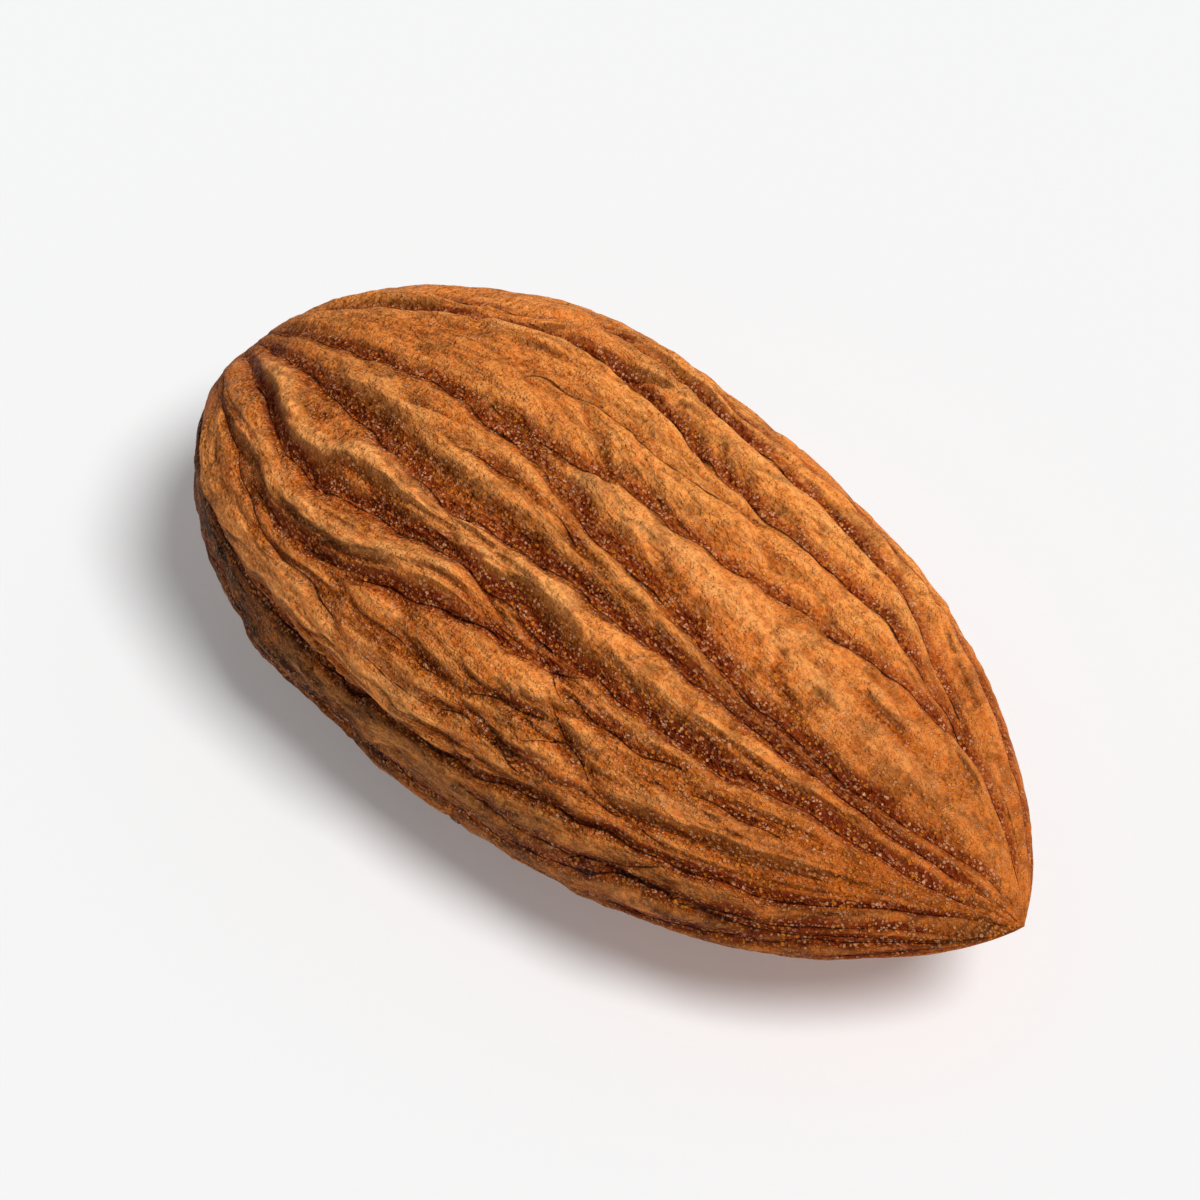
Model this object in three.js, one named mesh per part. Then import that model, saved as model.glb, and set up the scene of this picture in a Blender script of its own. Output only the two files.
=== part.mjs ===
// A shelled almond: one whole kernel in its ribbed brown skin, lying on its broad side.
// Millimetres, +Z up. The long axis runs along X, from the round end at -X to the pointed tip at +X.
// A place on the skin is given by its station, the share of the length from the round end (0) to
// the tip (1), and its angle round the kernel in degrees: 0 at the margin on the -Y side, 90 on
// top, 180 at the margin on the +Y side and 270 on the underside.
import * as THREE from "three";

const { lerp, seededRandom, smoothstep } = THREE.MathUtils;

// Driving dimensions of the smooth body
const LENGTH = 24;
const NEAR_HALF_WIDTH = 5.86;
const FAR_HALF_WIDTH = 6.04;
const TOP_HALF_THICKNESS = 3.95;
const UNDER_HALF_THICKNESS = 3.95;
const SECTION_POWER = 2.45; // 2 is an ellipse, more is squarer in the shoulders

// How each edge of the body swells and tapers: the station where it is widest, the power of the
// round end, and two powers for the pointed end, the second one for the tip itself
const NEAR_MARGIN = { widest: 0.43, round: 2.17, taper: 2.72, tip: 0.635 };
const FAR_MARGIN = { widest: 0.35, round: 1.81, taper: 3.29, tip: 0.9 };
const TOP_CROWN = { widest: 0.37, round: 1.9, taper: 1.65, tip: 0.93 };
const UNDER_BELLY = { widest: 0.43, round: 1.9, taper: 1.6, tip: 0.93 };
const TIP_LEAN = 0.22; // the tip lies this far towards the far margin
const LEANS_FROM = 0.85;

// The flat spot it rests on: how far the belly is pressed in, and how far round it the skin is smooth
const PRESSED_IN = 0.2;
const REST_STATION = 0.44;
const REST_HALF_LENGTH = 3.6;
const REST_HALF_WIDTH = 2.2;
const BARE_TO = 0.8; // in those half sizes: the skin is bare up to here
const RIBBED_FROM = 1.5; // and has its full relief from here on

// Towards the ends the relief fades with the girth, to this power, and so does the width of each line
const HEIGHT_FADE = 0.75;
const WIDTH_FADE = 0.6;
const DEGREE = Math.PI / 180;

// The flow of the skin: lines that the faceted grid follows, each with the number of columns up to
// the next line, so that a furrow runs along an edge of the grid instead of stepping across it
const SEAM_FLOW = [[0.04, 16], [0.1, 12], [0.15, 8], [0.22, 5], [0.3, 3.5], [0.38, 2.5], [0.46, 4], [0.54, 6],
  [0.62, 12], [0.7, 19.5], [0.78, 23], [0.85, 30], [0.9, 43], [0.94, 54], [0.98, 66]];
const LAST_FLOW = [[0.05, 136], [0.15, 134], [0.28, 134.5], [0.35, 138.5], [0.41, 137.5], [0.48, 137.5],
  [0.54, 141], [0.62, 146], [0.7, 147.5], [0.9, 150], [0.97, 150]];
const FLOW = [
  { columns: 5, route: SEAM_FLOW },
  { columns: 11, route: [[0.04, 42], [0.08, 38], [0.1, 31], [0.12, 25], [0.15, 20], [0.2, 18],
    [0.26, 17.5], [0.32, 18], [0.4, 16], [0.5, 14], [0.56, 17], [0.62, 22], [0.7, 31], [0.78, 38],
    [0.85, 46], [0.9, 55], [0.94, 62], [0.98, 70]] },
  { columns: 4, route: [[0.05, 52], [0.1, 49.5], [0.14, 47.5], [0.2, 44.5], [0.25, 40], [0.29, 41],
    [0.33, 43.5], [0.37, 46.5], [0.41, 50.5], [0.46, 53.5], [0.52, 53.5], [0.6, 54], [0.68, 53.5],
    [0.74, 56], [0.8, 60], [0.86, 64], [0.92, 68], [0.98, 74]] },
  { columns: 6, route: [[0.05, 66], [0.09, 62.5], [0.13, 58], [0.17, 54], [0.21, 51], [0.25, 50.5],
    [0.3, 52], [0.35, 55], [0.4, 58.5], [0.45, 59.5], [0.55, 58.5], [0.6, 60], [0.65, 60.3], [0.7, 62],
    [0.75, 64], [0.8, 68], [0.85, 71], [0.95, 74], [0.98, 78]] },
  { columns: 5, route: [[0.05, 76], [0.1, 75.5], [0.15, 74], [0.2, 73], [0.25, 72], [0.3, 70.5],
    [0.34, 68.5], [0.38, 68], [0.42, 70], [0.5, 73], [0.6, 75], [0.7, 77], [0.8, 79.5], [0.9, 82],
    [0.98, 86]] },
  { columns: 11, route: [[0.05, 84.5], [0.1, 85.5], [0.15, 87], [0.2, 88], [0.3, 89], [0.4, 88],
    [0.45, 86], [0.5, 84.7], [0.6, 84], [0.7, 82.3], [0.75, 82.3], [0.8, 83.3], [0.85, 85], [0.95, 91],
    [0.98, 93]] },
  { columns: 5, route: [[0.05, 97], [0.1, 102], [0.15, 105], [0.2, 107.5], [0.25, 111], [0.29, 115.5],
    [0.35, 116.5], [0.4, 116], [0.45, 114.5], [0.5, 112], [0.55, 111.5], [0.6, 113], [0.7, 117],
    [0.8, 119], [0.9, 121], [0.97, 122]] },
  { columns: 5, route: [[0.05, 113], [0.14, 114], [0.2, 116], [0.245, 119.5], [0.27, 126], [0.31, 129],
    [0.36, 130], [0.42, 130.5], [0.48, 129], [0.52, 128], [0.56, 129], [0.62, 131], [0.7, 131],
    [0.76, 130], [0.82, 129.5], [0.9, 130], [0.97, 132]] },
];

// Furrows of the visible side: depth and half width in mm, and [station, angle] along each
const FURROWS = [
  { depth: 0.2, half: 0.22, route: SEAM_FLOW },
  { depth: 0.14, half: 0.2, route: [[0.55, 1], [0.62, 0], [0.68, 2], [0.74, 4], [0.86, 5], [0.9, 11],
    [0.95, 20]] },
  { depth: 0.08, half: 0.12, route: [[0.7, 5], [0.73, 11], [0.76, 19]] },
  { depth: 0.1, half: 0.16, route: [[0.05, 47], [0.1, 43.5], [0.14, 39], [0.18, 33.5], [0.22, 29],
    [0.25, 25], [0.29, 26], [0.33, 25], [0.36, 22.5], [0.4, 20], [0.5, 20.5], [0.55, 24.5],
    [0.64, 20]] },
  { depth: 0.18, half: 0.32, route: [[0.2, 35], [0.25, 33], [0.3, 32.5], [0.34, 35], [0.38, 39],
    [0.46, 47], [0.55, 53], [0.6, 58]] },
  { depth: 0.1, half: 0.2, route: [[0.42, 30], [0.47, 29.5], [0.52, 32], [0.56, 37], [0.6, 41]] },
  { depth: 0.08, half: 0.14, route: [[0.59, 47], [0.62, 42], [0.66, 36], [0.71, 31]] },
  { depth: 0.1, half: 0.2, route: [[0.57, 25], [0.62, 27], [0.68, 29], [0.75, 30]] },
  { depth: 0.26, half: 0.32, route: FLOW[3].route },
  { depth: 0.1, half: 0.22, route: [[0.6, 51.5], [0.64, 51], [0.68, 51.5], [0.72, 55.5]] },
  { depth: 0.1, half: 0.2, route: [[0.74, 51], [0.78, 53.5], [0.82, 56.5]] },
  { depth: 0.22, half: 0.3, route: FLOW[4].route },
  { depth: 0.1, half: 0.2, route: [[0.35, 79.5], [0.41, 82.5], [0.46, 81.5], [0.52, 80]] },
  { depth: 0.2, half: 0.32, route: FLOW[5].route },
  { depth: 0.15, half: 0.28, route: [[0.33, 90.5], [0.4, 90.5], [0.45, 91.5], [0.5, 93], [0.6, 95.5],
    [0.65, 98.5], [0.7, 102], [0.75, 107], [0.8, 112], [0.85, 119]] },
  { depth: 0.06, half: 0.12, route: [[0.31, 99], [0.36, 101], [0.41, 103], [0.47, 102.5], [0.52, 103],
    [0.56, 107], [0.6, 110]] },
  { depth: 0.18, half: 0.26, route: FLOW[6].route },
  { depth: 0.16, half: 0.24, route: [...FLOW[7].route.slice(1, -4), [0.76, 127], [0.82, 124]] },
  { depth: 0.16, half: 0.24, route: LAST_FLOW.slice(2) },
];

// Folds that stand between them: height, half width in mm on the side of lesser and of greater
// angle, and the [station, angle] of the crest. Most are steep on the -Y side, as if pushed over.
const FOLDS = [
  { height: 0.2, less: 0.7, more: 0.6, route: [[0.05, -8], [0.15, -10], [0.3, -12]] },
  { height: 0.05, less: 0.35, more: 0.4, route: [[0.3, -2], [0.42, -1.5], [0.5, -0.5], [0.58, 2],
    [0.66, 8]] },
  { height: 0.28, less: 0.4, more: 0.7, route: [...FLOW[1].route.slice(1, 9), [0.5, 13]] },
  { height: 0.18, less: 0.28, more: 0.45, route: [[0.05, 52], [0.1, 49.5], [0.14, 47.5], [0.2, 45.5]] },
  { height: 0.28, less: 0.32, more: 0.5, route: [[0.21, 42.5], [0.25, 40], [0.29, 41], [0.33, 43.5],
    [0.37, 46.5], [0.41, 51], [0.46, 55.5]] },
  { height: 0.28, less: 0.34, more: 0.5, route: [[0.08, 68], [0.12, 66], [0.15, 64.5], [0.18, 61],
    [0.21, 58.5], [0.245, 58.5], [0.275, 63.5], [0.31, 64], [0.36, 64], [0.41, 64], [0.46, 65], [0.5, 67],
    [0.56, 68.5]] },
  { height: 0.12, less: 0.28, more: 0.35, route: [[0.56, 67.5], [0.63, 69], [0.7, 70], [0.78, 73]] },
  { height: 0.12, less: 0.26, more: 0.35, route: [[0.45, 36], [0.5, 38], [0.56, 43], [0.62, 46],
    [0.68, 48.5]] },
  { height: 0.12, less: 0.26, more: 0.35, route: [[0.6, 54.5], [0.66, 54.5], [0.7, 57]] },
  { height: 0.12, less: 0.26, more: 0.35, route: [[0.58, 30.5], [0.64, 32], [0.69, 33.5]] },
  { height: 0.24, less: 0.36, more: 0.55, route: [[0.68, 36], [0.72, 39.5], [0.75, 43], [0.79, 47],
    [0.84, 51], [0.88, 57]] },
  { height: 0.16, less: 0.26, more: 0.4, route: [[0.19, 79], [0.24, 80], [0.3, 80.5]] },
  { height: 0.12, less: 0.26, more: 0.35, route: [[0.31, 76], [0.36, 77.5], [0.42, 78.5], [0.5, 77.5]] },
  { height: 0.1, less: 0.22, more: 0.3, route: [[0.38, 84.5], [0.45, 83.5], [0.52, 82], [0.62, 81]] },
  { height: 0.22, less: 0.42, more: 0.7, route: [[0.44, 89], [0.5, 89.5], [0.6, 90.5], [0.66, 91],
    [0.76, 91.5], [0.81, 92.5], [0.86, 95], [0.92, 99]] },
  { height: 0.14, less: 0.3, more: 0.35, route: [[0.67, 92], [0.69, 94], [0.71, 97], [0.74, 100]] },
  { height: 0.14, less: 0.4, more: 0.5, route: [[0.42, 97], [0.5, 99.5], [0.55, 102], [0.6, 104],
    [0.63, 107.5], [0.67, 110], [0.72, 113], [0.76, 115.5]] },
  { height: 0.2, less: 0.3, more: 0.35, route: [[0.76, 100], [0.8, 101], [0.82, 104], [0.84, 110],
    [0.86, 116.5], [0.9, 119]] },
  { height: 0.16, less: 0.8, more: 0.35, route: [[0.04, 91], [0.1, 94], [0.15, 98], [0.18, 102],
    [0.22, 104.5], [0.27, 108], [0.32, 111.5]] },
  { height: 0.1, less: 0.4, more: 0.3, route: [[0.34, 107], [0.4, 109.5], [0.46, 108.5]] },
  { height: 0.12, less: 0.35, more: 0.35, route: [[0.06, 108], [0.12, 110], [0.18, 112], [0.22, 114]] },
  { height: 0.16, less: 0.4, more: 0.36, route: [[0.27, 121], [0.33, 123], [0.4, 123.5], [0.46, 122],
    [0.5, 120.5], [0.55, 121.5], [0.6, 123], [0.66, 125], [0.72, 125], [0.77, 123]] },
  { height: 0.14, less: 0.35, more: 0.35, route: [[0.3, 134], [0.4, 133.5], [0.48, 133.5], [0.56, 136],
    [0.62, 139], [0.68, 140.5], [0.76, 141], [0.85, 140]] },
];

// Dents between the folds: depth, station, angle, half length in stations and half width in mm
const DENTS = [
  { depth: 0.14, station: 0.19, angle: 97.5, along: 0.018, half: 0.3 },
  { depth: 0.1, station: 0.78, angle: 97.5, along: 0.02, half: 0.3 },
  { depth: 0.1, station: 0.205, angle: 66, along: 0.012, half: 0.2 },
];

// The hidden side follows a rule: evenly spaced furrows that gently wander, with broad ribs between.
// Each furrow's depth is a random one between the two.
const HIDDEN = { furrows: 12, columns: 4, wander: 2.6, depth: [0.14, 0.24], half: 0.28, seed: 20 };
const HIDDEN_STATIONS = [0.04, 0.18, 0.32, 0.46, 0.6, 0.74, 0.86, 0.95];

const bell = (x) => Math.exp(-x * x);

// The angle of a route at a station, on a smooth curve through its points
function routeAngle(route, station) {
  const last = route.length - 1;
  if (station <= route[0][0]) return route[0][1];
  if (station >= route[last][0]) return route[last][1];
  let i = 0;
  while (route[i + 1][0] < station) i++;
  const slopeAt = (k) => {
    const before = route[Math.max(k - 1, 0)];
    const after = route[Math.min(k + 1, last)];
    return (after[1] - before[1]) / (after[0] - before[0]);
  };
  const [x0, y0] = route[i];
  const [x1, y1] = route[i + 1];
  const span = x1 - x0;
  const u = (station - x0) / span;
  const a = slopeAt(i) * span - (y1 - y0);
  const b = -slopeAt(i + 1) * span + (y1 - y0);
  return (1 - u) * y0 + u * y1 + u * (1 - u) * ((1 - u) * a + u * b);
}

// 1 along a route, fading at an end that stops short of the pole
const RUNS_TO_ROUND_END = 0.06;
const RUNS_TO_TIP = 0.94;
const END_LENGTH = 0.05;
function routeWeight(route, station) {
  const first = route[0][0];
  const last = route[route.length - 1][0];
  const riseAt = (end) => smoothstep(station, end - END_LENGTH / 2, end + END_LENGTH / 2);
  const start = first <= RUNS_TO_ROUND_END ? 1 : riseAt(first);
  const end = last >= RUNS_TO_TIP ? 1 : 1 - riseAt(last);
  return start * end;
}

// The furrows of the hidden side, from the last line of the flow round to the seam again
seededRandom(HIDDEN.seed);
const hiddenFurrows = [];
for (let k = 0; k < HIDDEN.furrows; k++) {
  const share = (k + 1) / (HIDDEN.furrows + 1);
  const route = HIDDEN_STATIONS.map((station) => {
    const from = routeAngle(LAST_FLOW, station);
    const to = routeAngle(SEAM_FLOW, station) + 360;
    return [station, from + share * (to - from) + HIDDEN.wander * (2 * seededRandom() - 1)];
  });
  const depth = lerp(HIDDEN.depth[0], HIDDEN.depth[1], seededRandom());
  hiddenFurrows.push({ depth, half: HIDDEN.half, route });
}
const furrows = [...FURROWS, ...hiddenFurrows];
const flow = [
  ...FLOW,
  { columns: HIDDEN.columns, route: LAST_FLOW },
  ...hiddenFurrows.map(({ route }) => ({ columns: HIDDEN.columns, route })),
];

// Half width or half thickness of an edge at a station, as a share of its largest
function edgeShare(edge, station) {
  if (station < edge.widest) {
    const s = (edge.widest - station) / edge.widest;
    return Math.pow(Math.max(1 - Math.pow(s, edge.round), 0), 1 / edge.round);
  }
  const s = (station - edge.widest) / (1 - edge.widest);
  return Math.pow(Math.max(1 - Math.pow(s, edge.taper), 0), edge.tip);
}

// A point of the smooth body
function bodyPoint(station, angle) {
  const c = -Math.cos(angle * DEGREE);
  const s = Math.sin(angle * DEGREE);
  const side = Math.sign(c) * Math.pow(Math.abs(c), 2 / SECTION_POWER);
  const rise = Math.sign(s) * Math.pow(Math.abs(s), 2 / SECTION_POWER);
  const width = side > 0 ? FAR_HALF_WIDTH * edgeShare(FAR_MARGIN, station)
    : NEAR_HALF_WIDTH * edgeShare(NEAR_MARGIN, station);
  const thickness = rise > 0 ? TOP_HALF_THICKNESS * edgeShare(TOP_CROWN, station)
    : UNDER_HALF_THICKNESS * edgeShare(UNDER_BELLY, station);
  const lean = TIP_LEAN * smoothstep(station, LEANS_FROM, 1);
  return new THREE.Vector3((station - 0.5) * LENGTH, width * side + lean, thickness * rise);
}

// A furrow is a wide trough with a narrower crease along its middle: the crease's share of the
// depth, and its share of the width
const CREASE_SHARE = 0.2;
const CREASE_WIDTH = 0.4;
const LESS_SIDE = 0.75; // a furrow is steeper on its side of lesser angle
const MORE_SIDE = 1.4;

// What the relief is made of at one station: where each line crosses it and how strong it is there
function crossings(lines, station) {
  return lines
    .map((line) => {
      const angle = routeAngle(line.route, station);
      return { line, angle, at: bodyPoint(station, angle), weight: routeWeight(line.route, station) };
    })
    .filter(({ weight }) => weight > 0);
}

// Distance across a line in mm, below 0 on its side of lesser angle
function distanceAcross(crossing, point, angle) {
  const turn = ((((angle - crossing.angle) % 360) + 540) % 360) - 180;
  return Math.sign(turn) * crossing.at.distanceTo(point);
}

// Height of the relief above the smooth body
function relief(point, station, angle, girth, furrowsHere, foldsHere) {
  const spread = Math.pow(girth, WIDTH_FADE);
  let height = 0;
  for (const crossing of furrowsHere) {
    const { depth, half } = crossing.line;
    const distance = distanceAcross(crossing, point, angle) / (half * spread);
    const across = distance / (distance < 0 ? LESS_SIDE : MORE_SIDE);
    const shape = (1 - CREASE_SHARE) * bell(across) + CREASE_SHARE * bell(across / CREASE_WIDTH);
    height -= depth * crossing.weight * shape;
  }
  for (const crossing of foldsHere) {
    const { height: crest, less, more } = crossing.line;
    const across = distanceAcross(crossing, point, angle) / spread;
    height += crest * crossing.weight * bell(across / (across < 0 ? less : more));
  }
  for (const dent of DENTS) {
    const along = bell((station - dent.station) / dent.along);
    height -= dent.depth * along * bell(bodyPoint(station, dent.angle).distanceTo(point) / dent.half);
  }
  return height * Math.pow(girth, HEIGHT_FADE);
}

// Which way the smooth body faces at a place
function outward(station, angle) {
  const STEP = 0.002;
  const along = bodyPoint(station + STEP, angle).sub(bodyPoint(station - STEP, angle));
  const round = bodyPoint(station, angle + 1).sub(bodyPoint(station, angle - 1));
  return along.cross(round).normalize();
}

// The angles of the grid's columns at a station, spread evenly between the lines of the flow
function columnAngles(station) {
  const lines = flow.map(({ route }) => routeAngle(route, station));
  lines.push(lines[0] + 360);
  return flow.flatMap(({ columns }, k) =>
    Array.from({ length: columns }, (_, j) => lines[k] + ((lines[k + 1] - lines[k]) * j) / columns));
}

// One ring of skin points: the body with its relief, pressed flat where it rests
const FLAT_LEVEL = -(UNDER_HALF_THICKNESS - PRESSED_IN);
function skinRing(station) {
  const furrowsHere = crossings(furrows, station);
  const foldsHere = crossings(FOLDS, station);
  const girth = Math.sqrt(edgeShare(NEAR_MARGIN, station) * edgeShare(TOP_CROWN, station));
  return columnAngles(station).map((angle) => {
    const point = bodyPoint(station, angle);
    const off = Math.hypot(((station - REST_STATION) * LENGTH) / REST_HALF_LENGTH, point.y / REST_HALF_WIDTH);
    const bare = point.z > 0 ? 1 : smoothstep(off, BARE_TO, RIBBED_FROM);
    const height = relief(point, station, angle, girth, furrowsHere, foldsHere);
    point.addScaledVector(outward(station, angle), height * bare);
    point.z = Math.max(point.z, FLAT_LEVEL);
    return point;
  });
}

// Rings of points from the round end to the tip, closer together at the ends, closed at both poles
const RINGS = 57;
function skinGeometry() {
  const rings = Array.from({ length: RINGS }, (_, i) =>
    skinRing((1 - Math.cos((Math.PI * (i + 1)) / (RINGS + 1))) / 2));
  const sides = rings[0].length;
  const points = [new THREE.Vector3(-LENGTH / 2, 0, 0), ...rings.flat(),
    new THREE.Vector3(LENGTH / 2, TIP_LEAN, 0)];
  const tip = points.length - 1;
  const at = (i, j) => 1 + i * sides + (j % sides);
  const faces = [];
  for (let j = 0; j < sides; j++) {
    faces.push(0, at(0, j), at(0, j + 1));
    for (let i = 0; i < RINGS - 1; i++) {
      faces.push(at(i, j), at(i + 1, j), at(i, j + 1), at(i, j + 1), at(i + 1, j), at(i + 1, j + 1));
    }
    faces.push(tip, at(RINGS - 1, j + 1), at(RINGS - 1, j));
  }
  const geometry = new THREE.BufferGeometry().setFromPoints(points);
  geometry.setIndex(faces);
  geometry.computeVertexNormals();
  return geometry;
}

// The kernel stands on its flat spot, with its box centred over the origin
const geometry = skinGeometry();
geometry.computeBoundingBox();
const box = geometry.boundingBox;
geometry.translate(-(box.min.x + box.max.x) / 2, -(box.min.y + box.max.y) / 2, -box.min.z);

const skin = new THREE.MeshStandardMaterial({ color: 0xa65e28, roughness: 0.72, metalness: 0 });
const kernel = new THREE.Mesh(geometry, skin);
kernel.name = "almond_kernel";

const almond = new THREE.Group();
almond.add(kernel);

export default almond;
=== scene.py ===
# %% [markdown]
# # A shelled almond
# An almond kernel is a flattened teardrop in a thin brown skin. As it dries the flesh shrinks
# and the skin wrinkles into furrows and folds that run from the round end to the pointed tip.
# This lesson grows that skin over a plain body, presses fine wrinkles into it with Geometry
# Nodes, and colours it by its own relief: red-brown in the furrows, painted shade on the slopes
# and in the creases, and tan with a painted highlight on the crests.

import math
from types import SimpleNamespace

import bpy
import numpy as np
from mathutils import Matrix, Vector


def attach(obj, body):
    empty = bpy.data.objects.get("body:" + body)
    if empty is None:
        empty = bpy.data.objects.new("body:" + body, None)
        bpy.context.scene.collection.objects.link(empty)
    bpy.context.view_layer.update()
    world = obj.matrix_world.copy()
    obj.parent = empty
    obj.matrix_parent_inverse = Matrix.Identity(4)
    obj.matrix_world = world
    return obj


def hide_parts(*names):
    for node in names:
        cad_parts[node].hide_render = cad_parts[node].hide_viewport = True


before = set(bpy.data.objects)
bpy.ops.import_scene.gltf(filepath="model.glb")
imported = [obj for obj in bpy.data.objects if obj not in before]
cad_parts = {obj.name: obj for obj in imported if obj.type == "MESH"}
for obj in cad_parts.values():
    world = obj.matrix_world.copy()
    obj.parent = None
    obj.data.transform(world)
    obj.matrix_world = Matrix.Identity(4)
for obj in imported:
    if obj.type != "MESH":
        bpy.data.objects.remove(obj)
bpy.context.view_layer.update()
MM = 0.001

# %% [markdown]
# ## Sums with sockets
# A node tree is a sum written as boxes and wires. Wrapping a socket in a small class lets the
# sum be written as one instead: `a * 2 + b` makes the two Math nodes and joins them. The same
# class serves shaders and Geometry Nodes, because both use the same Math node.


# %% A socket that works like a number
class Field:
    """A socket of a node tree, to write sums with."""

    def __init__(self, tree, socket=None):
        self.tree = tree
        self.socket = socket

    def make(self, kind, sockets=None, output=0, **settings):
        """Any node: its type, what goes into its sockets, which output to use and its settings."""
        node = self.tree.nodes.new(kind)
        for name, value in settings.items():
            setattr(node, name, value)
        for name, value in (sockets or {}).items():
            if isinstance(value, Field):
                self.tree.links.new(value.socket, node.inputs[name])
            else:
                node.inputs[name].default_value = value
        return Field(self.tree, node.outputs[output])

    def math(self, operation, *values):
        return self.make("ShaderNodeMath", dict(enumerate(values)), operation=operation)

    def __add__(self, other):
        return self.math("ADD", self, other)

    def __radd__(self, other):
        return self.math("ADD", other, self)

    def __sub__(self, other):
        return self.math("SUBTRACT", self, other)

    def __rsub__(self, other):
        return self.math("SUBTRACT", other, self)

    def __mul__(self, other):
        return self.math("MULTIPLY", self, other)

    def __rmul__(self, other):
        return self.math("MULTIPLY", other, self)

    def __abs__(self):
        return self.math("ABSOLUTE", self)

    def clamp(self):
        return self.make("ShaderNodeClamp", {0: self})

    def ramp(self, low, high):
        """0 below low, 1 above high, and a smooth rise between. With low above high it falls."""
        ends = {"Value": self, "From Min": low, "From Max": high}
        return self.make("ShaderNodeMapRange", ends, interpolation_type="SMOOTHSTEP")

    def measured(self, name, output="Fac"):
        """What the mesh keeps under a name, as a shader reads it."""
        return self.make("ShaderNodeAttribute", output=output, attribute_name=name)

    def stretched(self, along, across):
        """A place in the grain of the skin, scaled differently along the kernel and round it."""
        scale = (along, across, across)
        return self.make("ShaderNodeVectorMath", {0: self, 1: scale}, operation="MULTIPLY")

    def noise(self, along, across, detail=3.0, roughness=0.55):
        """Noise of about 0 to 1, with that many features a millimetre along and across."""
        place = self.stretched(along, across)
        settings = {"Vector": place, "Scale": 1.0, "Detail": detail, "Roughness": roughness}
        return self.make("ShaderNodeTexNoise", settings)

    def dots(self, per_mm, biggest):
        """Scattered round dots: 1 inside a dot and 0 outside, each with its own random radius."""
        place = {"Vector": self.stretched(per_mm, per_mm), "Scale": 1.0}
        distance = self.make("ShaderNodeTexVoronoi", place, output="Distance")
        chance = Field(self.tree, distance.socket.node.outputs["Color"])
        return (chance * 2 * biggest - biggest * 0.5 - distance).ramp(0.0, 0.2)

    def blend(self, colour, other):
        """From one colour to another as this field goes from 0 to 1."""
        # The Mix node has a pair of sockets for each kind of value, and 6 and 7 are for colours
        sockets = {0: self, 6: colour, 7: other}
        return self.make("ShaderNodeMix", sockets, output=2, data_type="RGBA")


# %% [markdown]
# ## The body
# A place on the skin is given by its station, the share of the length from the round end (0)
# to the tip (1), and its angle round the kernel in degrees: 0 at the margin on the -Y side,
# 90 on top. The cross-section is a squarish ellipse, and four edge curves say how the two
# margins, the crown and the belly swell and taper. These are the solid's own dimensions, in
# millimetres, so that the dressed kernel fills the same space.

# %% Dimensions of the body
LENGTH = 24
NEAR_HALF_WIDTH = 5.86
FAR_HALF_WIDTH = 6.04
HALF_THICKNESS = 3.95
SECTION_POWER = 2.45
# Widest station, power of the round end, power of the taper, power of the tip itself
NEAR_MARGIN = (0.43, 2.17, 2.72, 0.635)
FAR_MARGIN = (0.35, 1.81, 3.29, 0.9)
TOP_CROWN = (0.37, 1.9, 1.65, 0.93)
UNDER_BELLY = (0.43, 1.9, 1.6, 0.93)
# The tip leans a little towards the far margin
TIP_LEAN = 0.22
LEANS_FROM = 0.85
# The flat spot it rests on: how far it is pressed in, where, and its half sizes
PRESSED_IN = 0.2
REST_STATION = 0.44
REST_HALF_LENGTH = 3.6
REST_HALF_WIDTH = 2.2
# Under the belly the relief starts and is full at these shares of the flat spot's half sizes
BARE_TO = 0.8
RIBBED_FROM = 1.5
# The relief fades towards the ends with the girth
HEIGHT_FADE = 0.75
WIDTH_FADE = 0.6


def smooth_step(x, low, high):
    s = np.clip((x - low) / (high - low), 0, 1)
    return s * s * (3 - 2 * s)


def between(x, rise, fall):
    """From 0 to 1 over the places of the rise, and back to 0 over those of the fall."""
    return smooth_step(x, *rise) * (1 - smooth_step(x, *fall))


def edge_share(edge, station):
    """Half width or half thickness of an edge at a station, as a share of its largest."""
    widest, round_power, taper, tip = edge
    before = np.clip((widest - station) / widest, 0, 1)
    after = np.clip((station - widest) / (1 - widest), 0, 1)
    round_end = (1 - before**round_power) ** (1 / round_power)
    pointed_end = (1 - after**taper) ** tip
    return np.where(station < widest, round_end, pointed_end)


def body_point(station, angle):
    """Points of the smooth body, in mm, from arrays of stations and angles."""
    c = -np.cos(np.radians(angle))
    s = np.sin(np.radians(angle))
    side = np.sign(c) * np.abs(c) ** (2 / SECTION_POWER)
    rise = np.sign(s) * np.abs(s) ** (2 / SECTION_POWER)
    far = FAR_HALF_WIDTH * edge_share(FAR_MARGIN, station)
    near = NEAR_HALF_WIDTH * edge_share(NEAR_MARGIN, station)
    top = HALF_THICKNESS * edge_share(TOP_CROWN, station)
    under = HALF_THICKNESS * edge_share(UNDER_BELLY, station)
    y = np.where(side > 0, far, near) * side + TIP_LEAN * smooth_step(station, LEANS_FROM, 1)
    z = np.where(rise > 0, top, under) * rise
    return np.stack(np.broadcast_arrays((station - 0.5) * LENGTH, y, z), axis=-1)


print("body of", LENGTH, "by", NEAR_HALF_WIDTH + FAR_HALF_WIDTH, "by", 2 * HALF_THICKNESS, "mm")
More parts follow.
